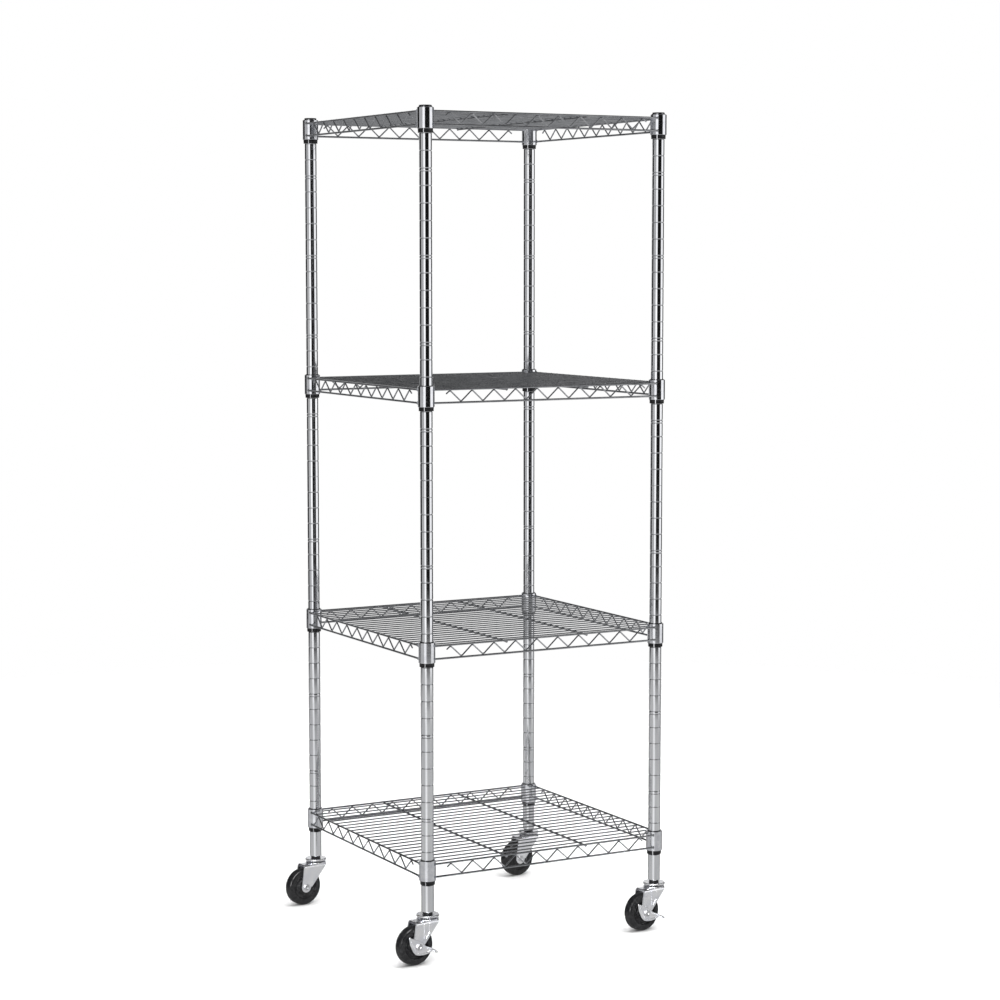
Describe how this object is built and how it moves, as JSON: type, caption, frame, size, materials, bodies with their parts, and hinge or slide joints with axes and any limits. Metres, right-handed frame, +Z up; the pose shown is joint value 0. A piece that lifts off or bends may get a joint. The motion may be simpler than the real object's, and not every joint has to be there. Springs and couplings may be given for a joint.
{
  "type": "wire shelving rack",
  "caption": "Narrow chromed wire rack with adjustable square shelves on grooved posts, standing on swivel casters, the front ones with brakes.",
  "frame": {"origin": "on the floor, midway between the four posts", "axes": "+Z up, -Y towards the front with the braked casters, +X to the right as seen from the front"},
  "size_m": [0.4742, 0.4501, 1.2774],
  "materials": {
    "chromed_wire": "bright chrome plate over drawn steel wire",
    "chromed_collar": "bright chrome plate on a pressed steel collar, welded to the rails",
    "chromed_tube": "bright chrome plate on a steel tube with rolled grooves",
    "bright_zinc": "bright zinc plate on pressed steel",
    "plain_steel": "turned steel, lightly oiled",
    "black_plastic": "moulded black plastic, satin",
    "wheel_plastic": "hard black moulded wheel, satin"
  },
  "bodies": {
    "root": {"top_shelf_sleeves": "black_plastic", "upper_shelf_sleeves": "black_plastic", "lower_shelf_sleeves": "black_plastic", "bottom_shelf_sleeves": "black_plastic", "front_left_upper_post": "chromed_tube", "front_left_lower_post": "chromed_tube", "front_right_upper_post": "chromed_tube", "front_right_lower_post": "chromed_tube", "back_left_upper_post": "chromed_tube", "back_left_lower_post": "chromed_tube", "back_right_upper_post": "chromed_tube", "back_right_lower_post": "chromed_tube", "post_caps": "black_plastic", "post_coupling_studs": "plain_steel", "post_coupling_sockets": "plain_steel", "caster_sockets": "black_plastic", "caster_stems": "plain_steel", "caster_cups": "bright_zinc", "caster_balls": "plain_steel"},
    "top_shelf": {"top_shelf_rails": "chromed_wire", "top_shelf_lacing": "chromed_wire", "top_shelf_deck_wires": "chromed_wire", "top_shelf_cross_supports": "chromed_wire", "top_shelf_collars": "chromed_collar"},
    "upper_shelf": {"upper_shelf_rails": "chromed_wire", "upper_shelf_lacing": "chromed_wire", "upper_shelf_deck_wires": "chromed_wire", "upper_shelf_cross_supports": "chromed_wire", "upper_shelf_collars": "chromed_collar"},
    "lower_shelf": {"lower_shelf_rails": "chromed_wire", "lower_shelf_lacing": "chromed_wire", "lower_shelf_deck_wires": "chromed_wire", "lower_shelf_cross_supports": "chromed_wire", "lower_shelf_collars": "chromed_collar"},
    "bottom_shelf": {"bottom_shelf_rails": "chromed_wire", "bottom_shelf_lacing": "chromed_wire", "bottom_shelf_deck_wires": "chromed_wire", "bottom_shelf_cross_supports": "chromed_wire", "bottom_shelf_collars": "chromed_collar"},
    "front_left_caster": {"front_left_fork": "bright_zinc", "front_left_axle": "plain_steel", "front_left_brake_spring": "plain_steel"},
    "front_left_wheel": {"front_left_wheel": "wheel_plastic", "front_left_axle_bush": "plain_steel"},
    "front_left_brake": {"front_left_brake_lever": "bright_zinc"},
    "front_right_caster": {"front_right_fork": "bright_zinc", "front_right_axle": "plain_steel", "front_right_brake_spring": "plain_steel"},
    "front_right_wheel": {"front_right_wheel": "wheel_plastic", "front_right_axle_bush": "plain_steel"},
    "front_right_brake": {"front_right_brake_lever": "bright_zinc"},
    "back_left_caster": {"back_left_fork": "bright_zinc", "back_left_axle": "plain_steel"},
    "back_left_wheel": {"back_left_wheel": "wheel_plastic", "back_left_axle_bush": "plain_steel"},
    "back_right_caster": {"back_right_fork": "bright_zinc", "back_right_axle": "plain_steel"},
    "back_right_wheel": {"back_right_wheel": "wheel_plastic", "back_right_axle_bush": "plain_steel"}
  },
  "joints": [
    {"name": "top_shelf_lift", "type": "slide", "parent": "root", "child": "top_shelf", "axis": [0, 0, 1], "range_m": [0, 0.06]},
    {"name": "upper_shelf_lift", "type": "slide", "parent": "root", "child": "upper_shelf", "axis": [0, 0, 1], "range_m": [0, 0.3556]},
    {"name": "lower_shelf_lift", "type": "slide", "parent": "root", "child": "lower_shelf", "axis": [0, 0, 1], "range_m": [0, 0.3302]},
    {"name": "bottom_shelf_lift", "type": "slide", "parent": "root", "child": "bottom_shelf", "axis": [0, 0, 1], "range_m": [0, 0.2794]},
    {"name": "front_left_swivel", "type": "hinge", "parent": "root", "child": "front_left_caster", "pos_m": [-0.201, -0.201, 0.07], "axis": [0, 0, 1], "continuous": true},
    {"name": "front_left_wheel_spin", "type": "hinge", "parent": "front_left_caster", "child": "front_left_wheel", "pos_m": [-0.22581, -0.20405, 0.03], "axis": [0.1219, -0.9925, 0], "continuous": true},
    {"name": "front_left_brake_press", "type": "hinge", "parent": "front_left_caster", "child": "front_left_brake", "pos_m": [-0.22581, -0.20405, 0.03], "axis": [-0.1219, 0.9925, 0], "range_deg": [0, 25]},
    {"name": "front_right_swivel", "type": "hinge", "parent": "root", "child": "front_right_caster", "pos_m": [0.201, -0.201, 0.07], "axis": [0, 0, 1], "continuous": true},
    {"name": "front_right_wheel_spin", "type": "hinge", "parent": "front_right_caster", "child": "front_right_wheel", "pos_m": [0.17619, -0.20405, 0.03], "axis": [0.1219, -0.9925, 0], "continuous": true},
    {"name": "front_right_brake_press", "type": "hinge", "parent": "front_right_caster", "child": "front_right_brake", "pos_m": [0.17619, -0.20405, 0.03], "axis": [-0.1219, 0.9925, 0], "range_deg": [0, 25]},
    {"name": "back_left_swivel", "type": "hinge", "parent": "root", "child": "back_left_caster", "pos_m": [-0.201, 0.201, 0.07], "axis": [0, 0, 1], "continuous": true},
    {"name": "back_left_wheel_spin", "type": "hinge", "parent": "back_left_caster", "child": "back_left_wheel", "pos_m": [-0.22581, 0.19795, 0.03], "axis": [0.1219, -0.9925, 0], "continuous": true},
    {"name": "back_right_swivel", "type": "hinge", "parent": "root", "child": "back_right_caster", "pos_m": [0.201, 0.201, 0.07], "axis": [0, 0, 1], "continuous": true},
    {"name": "back_right_wheel_spin", "type": "hinge", "parent": "back_right_caster", "child": "back_right_wheel", "pos_m": [0.17619, 0.19795, 0.03], "axis": [0.1219, -0.9925, 0], "continuous": true}
  ]
}
